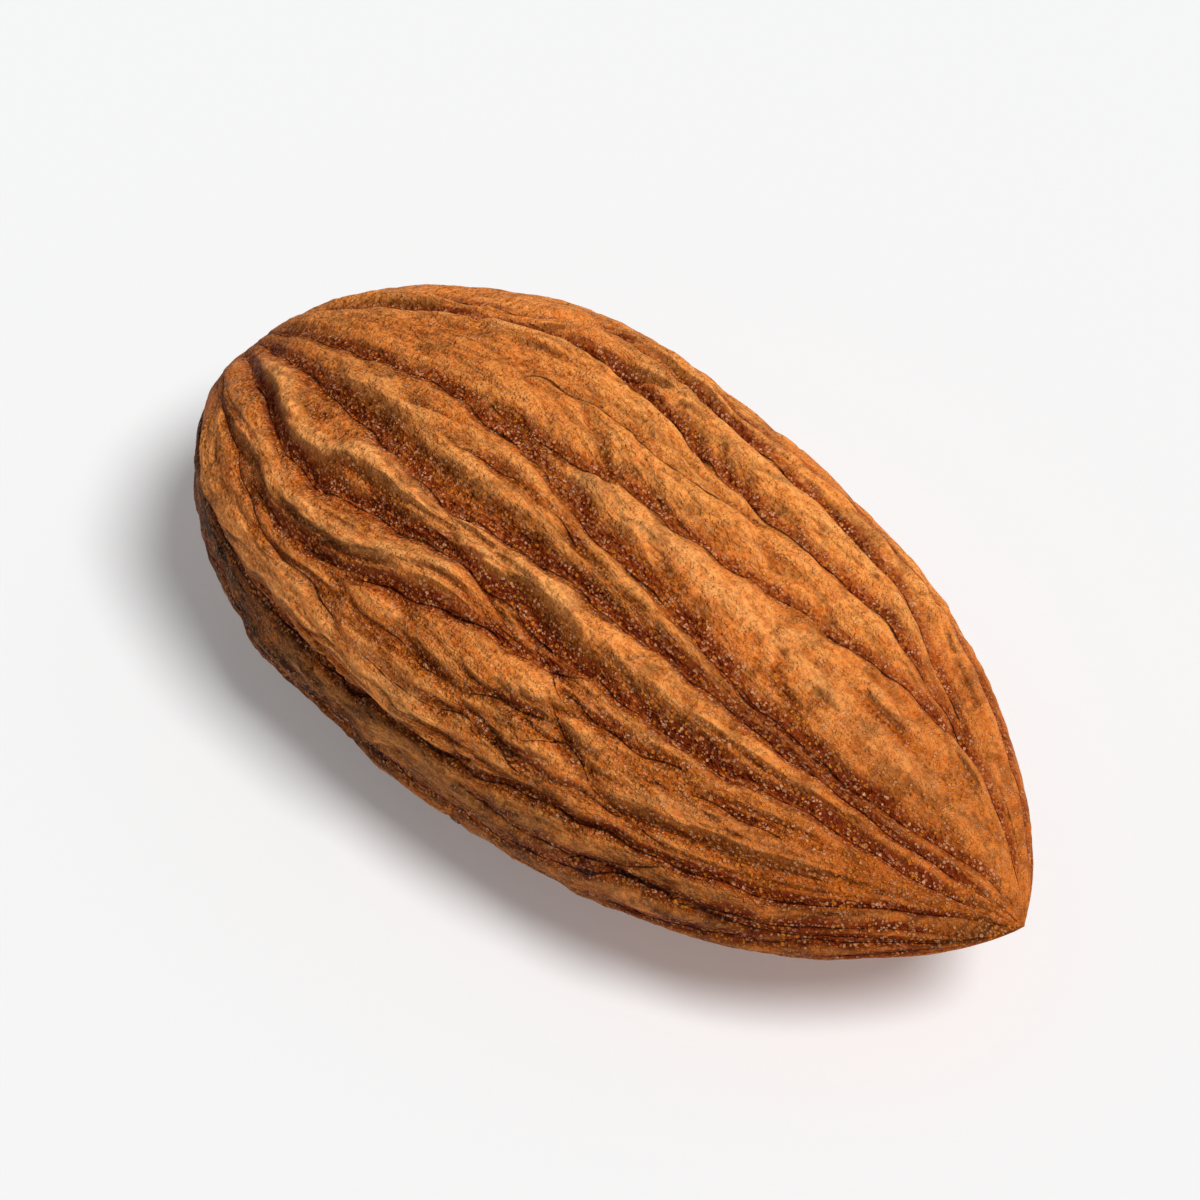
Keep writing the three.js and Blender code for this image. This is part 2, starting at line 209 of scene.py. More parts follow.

# %% [markdown]
# ## The furrows and folds
# Wrinkles on a real almond follow the flow of the skin, but each one wanders in its own way,
# so each is drawn as a short list of (station, angle) places, as a sculptor would scratch it
# in. A furrow is a trough with a sharper crease in it. A fold is a ridge, mostly steeper on
# the side that faces the -Y margin, as if the skin had slumped that way. The solid has the
# same furrows, folds and dents. Only the hair cracks are the dressed skin's alone.

# %% Lines of the flow
SEAM_FLOW = [(0.04, 16), (0.1, 12), (0.15, 8), (0.22, 5), (0.3, 3.5), (0.38, 2.5), (0.46, 4),
    (0.54, 6), (0.62, 12), (0.7, 19.5), (0.78, 23), (0.85, 30), (0.9, 43), (0.94, 54), (0.98, 66)]
RIDGE_FLOW = [(0.04, 42), (0.08, 38), (0.1, 31), (0.12, 25), (0.15, 20), (0.2, 18), (0.26, 17.5),
    (0.32, 18), (0.4, 16), (0.5, 14), (0.56, 17), (0.62, 22), (0.7, 31), (0.78, 38), (0.85, 46),
    (0.9, 55), (0.94, 62), (0.98, 70)]
SHOULDER_FLOW = [(0.05, 52), (0.1, 49.5), (0.14, 47.5), (0.2, 44.5), (0.25, 40), (0.29, 41),
    (0.33, 43.5), (0.37, 46.5), (0.41, 50.5), (0.46, 53.5), (0.52, 53.5), (0.6, 54), (0.68, 53.5),
    (0.74, 56), (0.8, 60), (0.86, 64), (0.92, 68), (0.98, 74)]
MAIN_FURROW = [(0.05, 66), (0.09, 62.5), (0.13, 58), (0.17, 54), (0.21, 51), (0.25, 50.5),
    (0.3, 52), (0.35, 55), (0.4, 58.5), (0.45, 59.5), (0.55, 58.5), (0.6, 60), (0.65, 60.3),
    (0.7, 62), (0.75, 64), (0.8, 68), (0.85, 71), (0.95, 74), (0.98, 78)]
INNER_FURROW = [(0.05, 76), (0.1, 75.5), (0.15, 74), (0.2, 73), (0.25, 72), (0.3, 70.5),
    (0.34, 68.5), (0.38, 68), (0.42, 70), (0.5, 73), (0.6, 75), (0.7, 77), (0.8, 79.5), (0.9, 82),
    (0.98, 86)]
CROWN_FURROW = [(0.05, 84.5), (0.1, 85.5), (0.15, 87), (0.2, 88), (0.3, 89), (0.4, 88), (0.45, 86),
    (0.5, 84.7), (0.6, 84), (0.7, 82.3), (0.75, 82.3), (0.8, 83.3), (0.85, 85), (0.95, 91),
    (0.98, 93)]
FAR_FURROW = [(0.05, 97), (0.1, 102), (0.15, 105), (0.2, 107.5), (0.25, 111), (0.29, 115.5),
    (0.35, 116.5), (0.4, 116), (0.45, 114.5), (0.5, 112), (0.55, 111.5), (0.6, 113), (0.7, 117),
    (0.8, 119), (0.9, 121), (0.97, 122)]
OUTER_FLOW = [(0.05, 113), (0.14, 114), (0.2, 116), (0.245, 119.5), (0.27, 126), (0.31, 129),
    (0.36, 130), (0.42, 130.5), (0.48, 129), (0.52, 128), (0.56, 129), (0.62, 131), (0.7, 131),
    (0.76, 130), (0.82, 129.5), (0.9, 130), (0.97, 132)]
OUTER_FURROW = [*OUTER_FLOW[1:-4], (0.76, 127), (0.82, 124)]
LAST_FLOW = [(0.05, 136), (0.15, 134), (0.28, 134.5), (0.35, 138.5), (0.41, 137.5), (0.48, 137.5),
    (0.54, 141), (0.62, 146), (0.7, 147.5), (0.9, 150), (0.97, 150)]

# %% Furrows: depth and half width in mm, and the route
FURROWS = [
    (0.2, 0.22, SEAM_FLOW),
    (0.14, 0.2, [(0.55, 1), (0.62, 0), (0.68, 2), (0.74, 4), (0.86, 5), (0.9, 11), (0.95, 20)]),
    (0.08, 0.12, [(0.7, 5), (0.73, 11), (0.76, 19)]),
    (0.1, 0.16, [(0.05, 47), (0.1, 43.5), (0.14, 39), (0.18, 33.5), (0.22, 29), (0.25, 25),
        (0.29, 26), (0.33, 25), (0.36, 22.5), (0.4, 20), (0.5, 20.5), (0.55, 24.5), (0.64, 20)]),
    (0.18, 0.32, [(0.2, 35), (0.25, 33), (0.3, 32.5), (0.34, 35), (0.38, 39), (0.46, 47),
        (0.55, 53), (0.6, 58)]),
    (0.1, 0.2, [(0.42, 30), (0.47, 29.5), (0.52, 32), (0.56, 37), (0.6, 41)]),
    (0.08, 0.14, [(0.59, 47), (0.62, 42), (0.66, 36), (0.71, 31)]),
    (0.1, 0.2, [(0.57, 25), (0.62, 27), (0.68, 29), (0.75, 30)]),
    (0.26, 0.32, MAIN_FURROW),
    (0.1, 0.22, [(0.6, 51.5), (0.64, 51), (0.68, 51.5), (0.72, 55.5)]),
    (0.1, 0.2, [(0.74, 51), (0.78, 53.5), (0.82, 56.5)]),
    (0.22, 0.3, INNER_FURROW),
    (0.1, 0.2, [(0.35, 79.5), (0.41, 82.5), (0.46, 81.5), (0.52, 80)]),
    (0.2, 0.32, CROWN_FURROW),
    (0.15, 0.28, [(0.33, 90.5), (0.4, 90.5), (0.45, 91.5), (0.5, 93), (0.6, 95.5), (0.65, 98.5),
        (0.7, 102), (0.75, 107), (0.8, 112), (0.85, 119)]),
    (0.06, 0.12, [(0.31, 99), (0.36, 101), (0.41, 103), (0.47, 102.5), (0.52, 103), (0.56, 107),
        (0.6, 110)]),
    (0.18, 0.26, FAR_FURROW),
    (0.16, 0.24, OUTER_FURROW),
    (0.16, 0.24, LAST_FLOW[2:]),
]

# %% Folds: height, half width in mm on the side of lesser and of greater angle, and the route
FOLDS = [
    (0.2, 0.7, 0.6, [(0.05, -8), (0.15, -10), (0.3, -12)]),
    (0.05, 0.35, 0.4, [(0.3, -2), (0.42, -1.5), (0.5, -0.5), (0.58, 2), (0.66, 8)]),
    (0.28, 0.4, 0.7, [*RIDGE_FLOW[1:9], (0.5, 13)]),
    (0.18, 0.28, 0.45, [(0.05, 52), (0.1, 49.5), (0.14, 47.5), (0.2, 45.5)]),
    (0.28, 0.32, 0.5, [(0.21, 42.5), (0.25, 40), (0.29, 41), (0.33, 43.5), (0.37, 46.5),
        (0.41, 51), (0.46, 55.5)]),
    (0.28, 0.34, 0.5, [(0.08, 68), (0.12, 66), (0.15, 64.5), (0.18, 61), (0.21, 58.5),
        (0.245, 58.5), (0.275, 63.5), (0.31, 64), (0.36, 64), (0.41, 64), (0.46, 65), (0.5, 67),
        (0.56, 68.5)]),
    (0.12, 0.28, 0.35, [(0.56, 67.5), (0.63, 69), (0.7, 70), (0.78, 73)]),
    (0.12, 0.26, 0.35, [(0.45, 36), (0.5, 38), (0.56, 43), (0.62, 46), (0.68, 48.5)]),
    (0.12, 0.26, 0.35, [(0.6, 54.5), (0.66, 54.5), (0.7, 57)]),
    (0.12, 0.26, 0.35, [(0.58, 30.5), (0.64, 32), (0.69, 33.5)]),
    (0.24, 0.36, 0.55, [(0.68, 36), (0.72, 39.5), (0.75, 43), (0.79, 47), (0.84, 51), (0.88, 57)]),
    (0.16, 0.26, 0.4, [(0.19, 79), (0.24, 80), (0.3, 80.5)]),
    (0.12, 0.26, 0.35, [(0.31, 76), (0.36, 77.5), (0.42, 78.5), (0.5, 77.5)]),
    (0.1, 0.22, 0.3, [(0.38, 84.5), (0.45, 83.5), (0.52, 82), (0.62, 81)]),
    (0.22, 0.42, 0.7, [(0.44, 89), (0.5, 89.5), (0.6, 90.5), (0.66, 91), (0.76, 91.5),
        (0.81, 92.5), (0.86, 95), (0.92, 99)]),
    (0.14, 0.3, 0.35, [(0.67, 92), (0.69, 94), (0.71, 97), (0.74, 100)]),
    (0.14, 0.4, 0.5, [(0.42, 97), (0.5, 99.5), (0.55, 102), (0.6, 104), (0.63, 107.5),
        (0.67, 110), (0.72, 113), (0.76, 115.5)]),
    (0.2, 0.3, 0.35, [(0.76, 100), (0.8, 101), (0.82, 104), (0.84, 110), (0.86, 116.5),
        (0.9, 119)]),
    (0.16, 0.8, 0.35, [(0.04, 91), (0.1, 94), (0.15, 98), (0.18, 102), (0.22, 104.5),
        (0.27, 108), (0.32, 111.5)]),
    (0.1, 0.4, 0.3, [(0.34, 107), (0.4, 109.5), (0.46, 108.5)]),
    (0.12, 0.35, 0.35, [(0.06, 108), (0.12, 110), (0.18, 112), (0.22, 114)]),
    (0.16, 0.4, 0.36, [(0.27, 121), (0.33, 123), (0.4, 123.5), (0.46, 122), (0.5, 120.5),
        (0.55, 121.5), (0.6, 123), (0.66, 125), (0.72, 125), (0.77, 123)]),
    (0.14, 0.35, 0.35, [(0.3, 134), (0.4, 133.5), (0.48, 133.5), (0.56, 136), (0.62, 139),
        (0.68, 140.5), (0.76, 141), (0.85, 140)]),
]
# Hair cracks, most of them across the grain: the skin has torn there as it dried
HAIR_CRACKS = [
    [(0.575, 55), (0.58, 54), (0.595, 51), (0.605, 49.5)],
    [(0.61, 45.5), (0.615, 44), (0.635, 39.5), (0.65, 37), (0.67, 34), (0.69, 32), (0.715, 29)],
    [(0.57, 27), (0.59, 31), (0.62, 37), (0.635, 41.5)],
    [(0.565, 24), (0.585, 23), (0.605, 22), (0.625, 21)],
]
# Dents: depth, station, angle, half length in stations, half width in mm
DENTS = [(0.14, 0.19, 97.5, 0.018, 0.3), (0.1, 0.78, 97.5, 0.02, 0.3), (0.1, 0.205, 66, 0.012, 0.2)]

# %% [markdown]
# ## The hidden side
# The side that nobody drew follows a rule: evenly spaced furrows that wander a little. The
# random numbers come from the same small generator as the solid's, started with the same seed,
# so both have the same furrows underneath.

# %% Furrows by rule
HIDDEN_FURROWS = 12
HIDDEN_WANDER = 2.6
HIDDEN_DEPTH = (0.14, 0.24)
HIDDEN_HALF = 0.28
HIDDEN_SEED = 20
HIDDEN_STATIONS = (0.04, 0.18, 0.32, 0.46, 0.6, 0.74, 0.86, 0.95)
WORD = 0xFFFFFFFF
SEED_STEP = 0x6D2B79F5


def random_numbers(state):
    """Endless random numbers from 0 to 1, the same ones for the same starting state."""
    while True:
        state = (state + SEED_STEP) & WORD
        t = ((state ^ (state >> 15)) * (state | 1)) & WORD
        t ^= (t + (t ^ (t >> 7)) * (t | 61)) & WORD
        yield (t ^ (t >> 14)) / (WORD + 1)


def route_angle(route, station):
    """The angle of a route at each station, on a smooth curve through its points."""
    x, y = np.array(route, dtype=float).T
    station = np.clip(station, x[0], x[-1])
    ahead = np.minimum(np.arange(len(x)) + 1, len(x) - 1)
    behind = np.maximum(np.arange(len(x)) - 1, 0)
    slope = (y[ahead] - y[behind]) / (x[ahead] - x[behind])
    i = np.clip(np.searchsorted(x, station, side="right") - 1, 0, len(x) - 2)
    span = x[i + 1] - x[i]
    u = (station - x[i]) / span
    a = slope[i] * span - (y[i + 1] - y[i])
    b = -slope[i + 1] * span + (y[i + 1] - y[i])
    return (1 - u) * y[i] + u * y[i + 1] + u * (1 - u) * ((1 - u) * a + u * b)


draw = random_numbers(HIDDEN_SEED)
# The solid's generator uses up one number when it is given its seed, so one is passed over
next(draw)
hidden_furrows = []
for k in range(HIDDEN_FURROWS):
    share = (k + 1) / (HIDDEN_FURROWS + 1)
    route = []
    for station in HIDDEN_STATIONS:
        start = float(route_angle(LAST_FLOW, station))
        end = float(route_angle(SEAM_FLOW, station)) + 360
        route.append((station, start + share * (end - start) + HIDDEN_WANDER * (2 * next(draw) - 1)))
    depth = HIDDEN_DEPTH[0] + (HIDDEN_DEPTH[1] - HIDDEN_DEPTH[0]) * next(draw)
    hidden_furrows.append((depth, HIDDEN_HALF, route))
print(len(FURROWS), "furrows and", len(FOLDS), "folds by hand,", len(hidden_furrows), "by rule")

# %% [markdown]
# ## A grid that follows the skin
# If the grid ran straight from end to end, a furrow would step across it like a staircase.
# So the columns run between the lines of the flow and bend with them, and a furrow always lies
# along an edge. The visible side gets the finer columns.

# %% Rings and columns
ROWS = 236
FINE = 5
PLAIN = 3
columns_between = [(SEAM_FLOW, 5 * FINE), (RIDGE_FLOW, 11 * FINE), (SHOULDER_FLOW, 4 * FINE),
    (MAIN_FURROW, 6 * FINE), (INNER_FURROW, 5 * FINE), (CROWN_FURROW, 11 * FINE),
    (FAR_FURROW, 5 * FINE), (OUTER_FLOW, 5 * FINE), (LAST_FLOW, 4 * PLAIN)]
columns_between += [(route, 4 * PLAIN) for _, _, route in hidden_furrows]

even = (np.arange(ROWS) + 1) / (ROWS + 1)
bunched = (1 - np.cos(np.pi * even)) / 2
stations = ((even + bunched) / 2)[:, None]
line_angles = [route_angle(route, stations) for route, _ in columns_between]
line_angles.append(line_angles[0] + 360)
pieces_of_ring = []
for k, (_, count) in enumerate(columns_between):
    share = np.arange(count) / count
    pieces_of_ring.append(line_angles[k] * (1 - share) + line_angles[k + 1] * share)
angles = np.concatenate(pieces_of_ring, axis=1)
COLUMNS = angles.shape[1]
body = body_point(stations, angles)
print(ROWS, "rings of", COLUMNS, "points")

# %% [markdown]
# ## The relief
# Every line adds its own height, by the distance across it in millimetres. On the dressed skin
# each line also wavers a little from side to side and in strength, which the solid is too
# coarse for. Beside the height the sum keeps what the colours need later: how much of a place
# is a furrow's floor or a fold's crest, and how far the nearest fine crack is. A crack is kept
# as a signed distance, because a distance stays true between grid points, and so a line
# thinner than the grid still comes out sharp.

# %% Add up the lines
# A furrow is a trough with a narrower crease in it, and steeper on its side of lesser angle
CREASE_SHARE = 0.2
CREASE_WIDTH = 0.4
LESS_SIDE = 0.75
MORE_SIDE = 1.4
# A line fades out over the end length, in stations, where it ends between these two stations
END_LENGTH = 0.05
RUNS_TO_ROUND_END = 0.06
RUNS_TO_TIP = 0.94
# A hair crack's depth and half width in mm, and its own end length
HAIR_DEPTH = 0.04
HAIR_HALF = 0.07
HAIR_END = 0.01
# A furrow is coloured by its depth, as a share of this one in mm, and by a little more
DEEPEST = 0.2
LEAST_COLOUR = 0.15
# The colours of furrows start and stop over these stations
COLOURED_FROM = (0.005, 0.04)
COLOURED_TO = (0.94, 0.985)
# The coloured floor lies this far from the crease in mm. Its half width is a share of its
# furrow's, which grows by another share over the stations of the last line
FLOOR_OFFSET = 0.12
FLOOR_SPREAD = 0.85
WIDER_TO_TIP = 0.7
WIDENS_OVER = (0.55, 0.85)
# How far the nearness of a crack reaches, in mm, and the distance before any crack is near
CRACK_REACH = 0.12
LONG_WAY = 9.0
# A crest's painted highlight is brightest from this height in mm on, this many half widths off the
# fold's middle
TALLEST = 0.26
CREST_OFFSET = 0.2
# The lengths of the waves that a line wavers in, in mm, and how far and how much it wavers
WAVE_LENGTHS = (4.1, 2.3, 1.3)
SIDE_WAVER = 0.035
STRENGTH_WAVER = 0.1
WAVER_SEED = 3


def bell(x):
    return np.exp(-x * x)


def route_weight(route, fade=END_LENGTH):
    """1 along a route, fading at an end that stops short of the pole."""
    first, last = route[0][0], route[-1][0]
    weight = np.ones_like(stations)
    if first > RUNS_TO_ROUND_END:
        weight *= smooth_step(stations, first - fade / 2, first + fade / 2)
    if last < RUNS_TO_TIP:
        weight *= 1 - smooth_step(stations, last - fade / 2, last + fade / 2)
    return weight


def distance_across(route):
    """Distance across a route in mm for every grid point, below 0 on its side of lesser angle."""
    centre = route_angle(route, stations)
    turn = (angles - centre + 180) % 360 - 180
    return np.sign(turn) * np.linalg.norm(body - body_point(stations, centre), axis=-1)


def waver():
    """A wave of mixed lengths along the kernel, different for every line, of about -2 to 2."""
    phases = waver_dice.uniform(0, 2 * np.pi, len(WAVE_LENGTHS))
    waves = zip(WAVE_LENGTHS, phases)
    return sum(np.sin(2 * np.pi * stations * LENGTH / length + phase) for length, phase in waves)


def nearer_crack(side, near, distance, strength):
    """The crack distances so far, with this crack's own wherever it is the nearest."""
    this_near = strength * bell(distance / CRACK_REACH)
    return np.where(this_near > near, distance, side), np.maximum(near, this_near)


waver_dice = np.random.default_rng(WAVER_SEED)
girth = np.sqrt(edge_share(NEAR_MARGIN, stations) * edge_share(TOP_CROWN, stations))
spread = girth**WIDTH_FADE
height = np.zeros_like(angles)
floor_share = np.zeros_like(angles)
crest_share = np.zeros_like(angles)
crack_side = np.full_like(angles, LONG_WAY)
crack_near = np.zeros_like(angles)
coloured = between(stations, COLOURED_FROM, COLOURED_TO)
floor_spread = FLOOR_SPREAD * (1 + WIDER_TO_TIP * smooth_step(stations, *WIDENS_OVER))
for depth, half, route in [*FURROWS, *hidden_furrows]:
    distance = distance_across(route) / spread + SIDE_WAVER * waver()
    weight = route_weight(route) * (1 + STRENGTH_WAVER * waver())
    across = distance / half / np.where(distance < 0, LESS_SIDE, MORE_SIDE)
    trough = (1 - CREASE_SHARE) * bell(across) + CREASE_SHARE * bell(across / CREASE_WIDTH)
    height -= depth * weight * trough
    strength = weight * min(depth / DEEPEST + LEAST_COLOUR, 1) * coloured
    floor = strength * bell((distance - FLOOR_OFFSET) / (floor_spread * half))
    floor_share = np.maximum(floor_share, floor)
    crack_side, crack_near = nearer_crack(crack_side, crack_near, distance, strength)
for crest, less, more, route in FOLDS:
    distance = distance_across(route) / spread + SIDE_WAVER * waver()
    weight = route_weight(route) * (1 + STRENGTH_WAVER * waver())
    across = distance / np.where(distance < 0, less, more)
    height += crest * weight * bell(across)
    bright = min(crest / TALLEST, 1) * weight * bell(across - CREST_OFFSET)
    crest_share = np.maximum(crest_share, bright)
for depth, station, angle, along, half in DENTS:
    centre = body_point(stations, np.array(angle))
    away = np.linalg.norm(body - centre, axis=-1) / half
    height -= depth * bell((stations - station) / along) * bell(away)
for route in HAIR_CRACKS:
    weight = route_weight(route, HAIR_END)
    distance = distance_across(route) + SIDE_WAVER * waver()
    height -= HAIR_DEPTH * weight * bell(distance / HAIR_HALF)
    crack_side, crack_near = nearer_crack(crack_side, crack_near, distance, weight)

# %% [markdown]
# Between the drawn lines the skin has shrunk into hundreds of short wrinkles, finer than the
# solid can have. They follow a rule: each starts anywhere, runs along the grain for a few
# millimetres, drifts a little to one side and fades at both ends. Most start where the kernel
# is widest. The draw is seeded, so the skin is the same every time.

# %% Short wrinkles by rule
SHORT_WRINKLES = 520
SHORT_SEED = 7
# Their stations: the first, the likeliest and the last
SHORT_STATIONS = (0.02, 0.42, 0.98)
# Depth and half width in mm, length as a share of the kernel's, and drift in columns
SHORT_DEPTH = (0.03, 0.1)
SHORT_HALF = (0.05, 0.14)
SHORT_LENGTH = (0.02, 0.09)
SHORT_DRIFT = 9
# The bends of a wrinkle: their size as a share of its drift, and how fast they come
BEND = 0.25
BEND_RATE = 3
# Beyond this many lengths from its middle a wrinkle is too shallow to count
SHORT_REACH = 2
# All relief starts from nothing at the round end and is full from this station on
CALM_TO = 0.06

dice = np.random.default_rng(SHORT_SEED)
spacing = np.linalg.norm(np.roll(body, -1, axis=1) - body, axis=-1)
column_numbers = np.arange(COLUMNS)
for _ in range(SHORT_WRINKLES):
    middle = dice.triangular(*SHORT_STATIONS)
    column = dice.uniform(0, COLUMNS)
    length = dice.uniform(*SHORT_LENGTH)
    depth = dice.uniform(*SHORT_DEPTH)
    half = dice.uniform(*SHORT_HALF)
    drift = dice.uniform(-SHORT_DRIFT, SHORT_DRIFT)
    rows = np.flatnonzero(np.abs(stations[:, 0] - middle) < SHORT_REACH * length)
    run = (stations[rows] - middle) / length
    centre = column + drift * (run + BEND * np.sin(BEND_RATE * run))
    turn = (column_numbers - centre + COLUMNS / 2) % COLUMNS - COLUMNS / 2
    across = turn * spacing[rows] / half
    across = across / np.where(across < 0, LESS_SIDE, MORE_SIDE)
    height[rows] -= depth * bell(run) * bell(across)
height *= girth**HEIGHT_FADE * smooth_step(stations, 0, CALM_TO)
print("relief from", round(height.min(), 3), "to", round(height.max(), 3), "mm")

# %% [markdown]
# ## The skin's points
# Each point of the body moves out along its normal by the height, and the belly is pressed
# flat where it rests. The steepness of the relief, and how far a place stands above the mean
# of its neighbours, are kept for the colours: slopes that face the -Y margin, away from the
# light, get dark brown painted shade, and crests that stand out get tan and a pale painted
# highlight.

# %% Displace and press
# The steps along and round the body that give its normal, in stations and degrees
STATION_STEP = 0.002
ANGLE_STEP = 1
BLUR_COLUMNS = 5
BLUR_PASSES = 3
# The steepness divides by a distance in mm, which shrinks to almost nothing at the poles
LEAST_APART = 1e-4


def unit(v):
    return v / np.maximum(np.linalg.norm(v, axis=-1, keepdims=True), 1e-12)


along = body_point(stations + STATION_STEP, angles) - body_point(stations - STATION_STEP, angles)
around = body_point(stations, angles + ANGLE_STEP) - body_point(stations, angles - ANGLE_STEP)
outward = unit(np.cross(along, around))
lengthways = (stations - REST_STATION) * LENGTH / REST_HALF_LENGTH
off = np.hypot(lengthways, body[..., 1] / REST_HALF_WIDTH)
bare = np.where(body[..., 2] > 0, 1, smooth_step(off, BARE_TO, RIBBED_FROM))
skin = body + outward * (height * bare)[..., None]
skin[..., 2] = np.maximum(skin[..., 2], PRESSED_IN - HALF_THICKNESS)

apart = np.linalg.norm(np.roll(body, -1, axis=1) - np.roll(body, 1, axis=1), axis=-1)
rise = np.roll(height, -1, axis=1) - np.roll(height, 1, axis=1)
steep = rise / np.maximum(apart, LEAST_APART)
blurred = height.copy()
for _ in range(BLUR_PASSES):
    shifted = [np.roll(blurred, k, axis=1) for k in range(-BLUR_COLUMNS, BLUR_COLUMNS + 1)]
    blurred = np.mean(shifted, axis=0)
stands_out = height - blurred
print("steepest slope", round(steep.max(), 2), "most above its neighbours", round(stands_out.max(), 3))

# %% One closed mesh with its measurements
corners = np.concatenate([[[-LENGTH / 2, 0, 0]], skin.reshape(-1, 3), [[LENGTH / 2, TIP_LEAN, 0]]])
low, high = corners.min(axis=0), corners.max(axis=0)
corners -= [(low[0] + high[0]) / 2, (low[1] + high[1]) / 2, low[2]]
corners *= MM
TIP = len(corners) - 1


def index(row, column):
    return 1 + row * COLUMNS + column % COLUMNS


faces = []
face_places = []
for j in range(COLUMNS):
    faces.append((0, index(0, j), index(0, j + 1)))
    faces.append((TIP, index(ROWS - 1, j + 1), index(ROWS - 1, j)))
    face_places.append(((0, j), (1, j), (1, j + 1)))
    face_places.append(((ROWS + 1, j), (ROWS, j + 1), (ROWS, j)))
    for i in range(ROWS - 1):
        faces.append((index(i, j), index(i + 1, j), index(i + 1, j + 1), index(i, j + 1)))
        face_places.append(((i + 1, j), (i + 2, j), (i + 2, j + 1), (i + 1, j + 1)))

mesh = bpy.data.meshes.new("kernel")
mesh.from_pydata(corners.tolist(), [], faces)
mesh.polygons.foreach_set("use_smooth", [True] * len(faces))
uv = np.array([place for face in face_places for place in face], dtype=float)
uv /= (ROWS + 1, COLUMNS)
mesh.uv_layers.new(name="skin").data.foreach_set("uv", uv.ravel())


def keep(name, values, ends=0.0):
    """Stores one number for each point, with the same one at both poles."""
    layer = mesh.attributes.new(name, "FLOAT", "POINT")
    values = np.broadcast_to(values, angles.shape).ravel()
    layer.data.foreach_set("value", np.concatenate([[ends], values, [ends]]).astype(np.float32))


keep("floor_share", floor_share)
keep("crest_share", crest_share)
keep("crack_side", crack_side, LONG_WAY)
keep("crack_near", crack_near)
keep("steep", steep)
keep("stands_out", stands_out)
keep("girth", girth * bare)

# %% [markdown]
# Three more numbers say where on the kernel a place is: paler from the crown to the far
# margin, as painted light on the side the light falls on, darker below the seam at the round
# end, as painted shade on the side turned from the light, and browner towards the tip.

# %% Parts of the skin
# The far side with painted light, paler, in degrees round the kernel
FAR_LIGHT_FROM = (74, 106)
FAR_LIGHT_TO = (150, 200)
# The flank with dark painted shade, in degrees above the seam and in stations, and how much it fades
# from there on
FLANK_FROM = (-90, -45)
FLANK_TO = (-6, 8)
FLANK_STARTS = (0, 0.04)
FLANK_FADES = (0.25, 0.6)
FLANK_FADE = 0.45
# The brown tip, and how much less brown it is above these degrees
TIP_STARTS = (0.66, 0.9)
TIP_PALES = (40, 90)
TIP_PALE = 0.3

keep("far_light", between(angles, FAR_LIGHT_FROM, FAR_LIGHT_TO))
above_seam = (angles - route_angle(SEAM_FLOW, stations) + 180) % 360 - 180
flank = between(above_seam, FLANK_FROM, FLANK_TO) * smooth_step(stations, *FLANK_STARTS)
keep("flank", flank * (1 - FLANK_FADE * smooth_step(stations, *FLANK_FADES)))
tip_pales = 1 - TIP_PALE * smooth_step(angles, *TIP_PALES)
keep("tip", smooth_step(stations, *TIP_STARTS) * tip_pales)

# %% [markdown]
# What is painted on has to run along the furrows. So the mesh also keeps a place in the grain:
# a place on a spindle, in millimetres, whose lines are the grid's columns. Noise that is
# stretched along the spindle comes out as streaks that bend with the furrows.

# %% The grain
GRAIN_RADIUS = 5.0
widest_row = int(girth.argmax())
gaps = spacing[widest_row]
turns = (2 * np.pi * (np.cumsum(gaps) - gaps) / gaps.sum())[None, :]
radius = GRAIN_RADIUS * girth
spindle = ((stations - 0.5) * LENGTH, radius * np.cos(turns), radius * np.sin(turns))
grain = np.stack(np.broadcast_arrays(*spindle), axis=-1).reshape(-1, 3)
grain = np.concatenate([[[-LENGTH / 2, 0, 0]], grain, [[LENGTH / 2, 0, 0]]])
mesh.attributes.new("grain", "FLOAT_VECTOR", "POINT").data.foreach_set("vector", grain.ravel())
mesh.validate()
print(len(mesh.vertices), "points,", len(mesh.polygons), "faces")

# %% [markdown]
# ## The colour of the skin
# The skin is one dry brown layer, so a single Principled shader does, with a colour built up
# as a painter would: brown and tan first, in streaks and blotches, a painted highlight on the
# crests and painted light on the far side, then dark brown painted shade on the slopes, in the
# creases and on the flank, red-brown in the furrows, pale grains of scurf over it, and
# near-black cracks last.


# %% Colours
def colour(red, green, blue):
    """A colour as picked on a screen, 0 to 255, turned into what the shader adds and mixes."""
    channels = [c / 255 for c in (red, green, blue)]
    linear = [c / 12.92 if c <= 0.04045 else ((c + 0.055) / 1.055) ** 2.4 for c in channels]
    return (*linear, 1.0)


# Pale, for the random silk and for the painted highlight on the crests
PALE_AND_HIGHLIGHT = colour(255, 176, 100)
TAN = colour(255, 162, 78)
ORANGE = colour(218, 100, 25)
BROWN = colour(156, 75, 18)
RUST = colour(122, 30, 10)
# Dark brown for painted shade on the slopes, in the creases and on the flank, and for mottling
SHADE_AND_MOTTLE_BROWN = colour(78, 35, 6)
# Near-black for cracks and flecks, and for the deepest painted shade on the flank
CRACK_AND_SHADE_BLACK = colour(30, 11, 2)
SCURF = colour(244, 172, 124)
GOLD = colour(240, 140, 40)

# %% [markdown]
# No edge between two colours is smooth, so noise breaks each of them up. Most of it follows
# the grain: blotches, streaks, fibres and silk from coarse to fine, mottling, and runs, which
# go down the slopes and across the grain. Specks, scurf and grit lie on the skin like dust.


